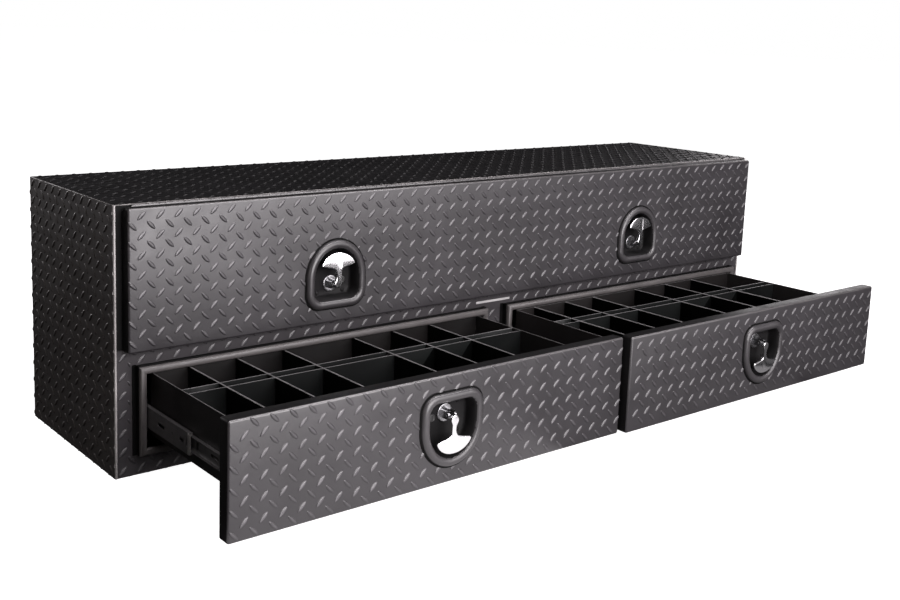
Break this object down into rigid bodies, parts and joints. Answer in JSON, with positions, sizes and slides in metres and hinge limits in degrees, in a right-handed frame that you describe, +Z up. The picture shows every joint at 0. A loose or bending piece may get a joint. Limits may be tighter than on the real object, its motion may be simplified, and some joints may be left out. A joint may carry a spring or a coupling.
{
  "type": "truck tool box",
  "caption": "Long sheet-metal tool box for a truck, with one flip-up door on top, divided full-extension drawers below and folding T-handle latches.",
  "frame": {"origin": "centre of the floor panel's underside, midway along the length and midway between the face frame's front and the back panel", "axes": "+X along the box's length, to the right seen from the front; +Y from the front face to the back; +Z up"},
  "size_m": [1.8288, 0.8264, 0.508],
  "materials": {
    "black_coat": "satin black powder coat on aluminium sheet",
    "drawer_coat": "smooth black powder coat on aluminium sheet",
    "seal": "matt extruded bulb seal",
    "chrome": "polished chrome plate",
    "slide": "dark zinc plate",
    "steel": "plain zinc plate",
    "dish": "semi-gloss black paint on pressed steel",
    "strut": "gloss black paint",
    "trim": "bare aluminium"
  },
  "bodies": {
    "cabinet": {"left_end_panel": "black_coat", "right_end_panel": "black_coat", "roof_panel": "black_coat", "floor_panel": "black_coat", "back_panel": "black_coat", "face_frame": "black_coat", "compartment_shelf": "black_coat", "centre_channel": "black_coat", "left_slide_bracket": "black_coat", "right_slide_bracket": "black_coat", "post_trim_strip": "trim", "door_seal": "seal", "left_drawer_seal": "seal", "right_drawer_seal": "seal", "hinge_body_leaf": "black_coat", "hinge_pin": "steel", "left_strut_bracket": "steel", "right_strut_bracket": "steel", "left_outer_slide_cabinet": "slide", "left_inner_slide_cabinet": "slide", "right_outer_slide_cabinet": "slide", "right_inner_slide_cabinet": "slide"},
    "door": {"hinge_door_leaf": "black_coat", "door_skin": "black_coat", "door_inner_panel": "drawer_coat", "door_left_latch_dish": "dish", "door_right_latch_dish": "dish"},
    "door_left_spindle": {"door_left_spindle": "chrome"},
    "door_left_handle": {"door_left_t_handle": "chrome"},
    "door_left_plug": {"door_left_lock_plug": "chrome"},
    "door_right_spindle": {"door_right_spindle": "chrome"},
    "door_right_handle": {"door_right_t_handle": "chrome"},
    "door_right_plug": {"door_right_lock_plug": "chrome"},
    "left_drawer": {"left_drawer_pan": "drawer_coat", "left_divider_grid": "drawer_coat", "left_drawer_front": "black_coat", "left_drawer_latch_dish": "dish", "left_outer_slide_drawer": "slide", "left_inner_slide_drawer": "slide"},
    "left_carriage": {"left_outer_slide_middle": "slide", "left_inner_slide_middle": "slide"},
    "left_drawer_spindle": {"left_drawer_spindle": "chrome"},
    "left_drawer_handle": {"left_drawer_t_handle": "chrome"},
    "left_drawer_plug": {"left_drawer_lock_plug": "chrome"},
    "right_drawer": {"right_drawer_pan": "drawer_coat", "right_divider_grid": "drawer_coat", "right_drawer_front": "black_coat", "right_drawer_latch_dish": "dish", "right_outer_slide_drawer": "slide", "right_inner_slide_drawer": "slide"},
    "right_carriage": {"right_outer_slide_middle": "slide", "right_inner_slide_middle": "slide"},
    "right_drawer_spindle": {"right_drawer_spindle": "chrome"},
    "right_drawer_handle": {"right_drawer_t_handle": "chrome"},
    "right_drawer_plug": {"right_drawer_lock_plug": "chrome"},
    "left_strut_cylinder": {"left_strut_cylinder": "strut"},
    "left_strut_rod": {"left_strut_rod": "chrome"},
    "right_strut_cylinder": {"right_strut_cylinder": "strut"},
    "right_strut_rod": {"right_strut_rod": "chrome"}
  },
  "joints": [
    {"name": "door_hinge", "type": "hinge", "parent": "cabinet", "child": "door", "pos_m": [0, -0.2073, 0.5041], "axis": [-1, 0, 0], "range_deg": [0, 90]},
    {"name": "door_left_spindle_turn", "type": "hinge", "parent": "door", "child": "door_left_spindle", "pos_m": [-0.455, -0.2312, 0.316], "axis": [0, 1, 0], "range_deg": [0, 90]},
    {"name": "door_left_handle_fold", "type": "hinge", "parent": "door_left_spindle", "child": "door_left_handle", "pos_m": [-0.455, -0.2262, 0.316], "axis": [1, 0, 0], "range_deg": [0, 90]},
    {"name": "door_left_lock_turn", "type": "hinge", "parent": "door", "child": "door_left_plug", "pos_m": [-0.426, -0.2312, 0.321], "axis": [0, 1, 0], "range_deg": [0, 90]},
    {"name": "door_right_spindle_turn", "type": "hinge", "parent": "door", "child": "door_right_spindle", "pos_m": [0.455, -0.2312, 0.316], "axis": [0, 1, 0], "range_deg": [0, 90]},
    {"name": "door_right_handle_fold", "type": "hinge", "parent": "door_right_spindle", "child": "door_right_handle", "pos_m": [0.455, -0.2262, 0.316], "axis": [1, 0, 0], "range_deg": [0, 90]},
    {"name": "door_right_lock_turn", "type": "hinge", "parent": "door", "child": "door_right_plug", "pos_m": [0.484, -0.2312, 0.321], "axis": [0, 1, 0], "range_deg": [0, 90]},
    {"name": "left_drawer_slide", "type": "slide", "parent": "cabinet", "child": "left_drawer", "axis": [0, -1, 0], "range_m": [-0.372, 0.012]},
    {"name": "left_carriage_slide", "type": "slide", "parent": "cabinet", "child": "left_carriage", "axis": [0, -1, 0], "range_m": [-0.186, 0.006]},
    {"name": "left_drawer_spindle_turn", "type": "hinge", "parent": "left_drawer", "child": "left_drawer_spindle", "pos_m": [-0.455, -0.6032, 0.154], "axis": [0, 1, 0], "range_deg": [0, 90]},
    {"name": "left_drawer_handle_fold", "type": "hinge", "parent": "left_drawer_spindle", "child": "left_drawer_handle", "pos_m": [-0.455, -0.5982, 0.154], "axis": [-1, 0, 0], "range_deg": [0, 90]},
    {"name": "left_drawer_lock_turn", "type": "hinge", "parent": "left_drawer", "child": "left_drawer_plug", "pos_m": [-0.484, -0.6032, 0.149], "axis": [0, 1, 0], "range_deg": [0, 90]},
    {"name": "right_drawer_slide", "type": "slide", "parent": "cabinet", "child": "right_drawer", "axis": [0, -1, 0], "range_m": [-0.383, 0.001]},
    {"name": "right_carriage_slide", "type": "slide", "parent": "cabinet", "child": "right_carriage", "axis": [0, -1, 0], "range_m": [-0.1915, 0.0005]},
    {"name": "right_drawer_spindle_turn", "type": "hinge", "parent": "right_drawer", "child": "right_drawer_spindle", "pos_m": [0.455, -0.6142, 0.154], "axis": [0, 1, 0], "range_deg": [0, 90]},
    {"name": "right_drawer_handle_fold", "type": "hinge", "parent": "right_drawer_spindle", "child": "right_drawer_handle", "pos_m": [0.455, -0.6092, 0.154], "axis": [-1, 0, 0], "range_deg": [0, 90]},
    {"name": "right_drawer_lock_turn", "type": "hinge", "parent": "right_drawer", "child": "right_drawer_plug", "pos_m": [0.426, -0.6142, 0.149], "axis": [0, 1, 0], "range_deg": [0, 90]},
    {"name": "left_strut_swing", "type": "hinge", "parent": "cabinet", "child": "left_strut_cylinder", "pos_m": [-0.8495, -0.0192, 0.324], "axis": [1, 0, 0], "range_deg": [-1.75, 0]},
    {"name": "left_strut_extend", "type": "slide", "parent": "left_strut_cylinder", "child": "left_strut_rod", "axis": [0, -0.8447, 0.5352], "range_m": [0, 0.0937]},
    {"name": "right_strut_swing", "type": "hinge", "parent": "cabinet", "child": "right_strut_cylinder", "pos_m": [0.8495, -0.0192, 0.324], "axis": [1, 0, 0], "range_deg": [-1.75, 0]},
    {"name": "right_strut_extend", "type": "slide", "parent": "right_strut_cylinder", "child": "right_strut_rod", "axis": [0, -0.8447, 0.5352], "range_m": [0, 0.0937]}
  ],
  "couplings": [
    {"joint": "door_left_spindle_turn", "follows": "door_left_handle_fold", "ratio": 1},
    {"joint": "door_right_spindle_turn", "follows": "door_right_handle_fold", "ratio": 1},
    {"joint": "left_carriage_slide", "follows": "left_drawer_slide", "ratio": 0.5},
    {"joint": "left_drawer_spindle_turn", "follows": "left_drawer_handle_fold", "ratio": 1},
    {"joint": "right_carriage_slide", "follows": "right_drawer_slide", "ratio": 0.5},
    {"joint": "right_drawer_spindle_turn", "follows": "right_drawer_handle_fold", "ratio": 1},
    {"joint": "left_strut_swing", "follows": "door_hinge", "ratio": -0.019486},
    {"joint": "left_strut_extend", "follows": "door_hinge", "m_per_rad": 0.059648},
    {"joint": "right_strut_swing", "follows": "door_hinge", "ratio": -0.019486},
    {"joint": "right_strut_extend", "follows": "door_hinge", "m_per_rad": 0.059648}
  ]
}
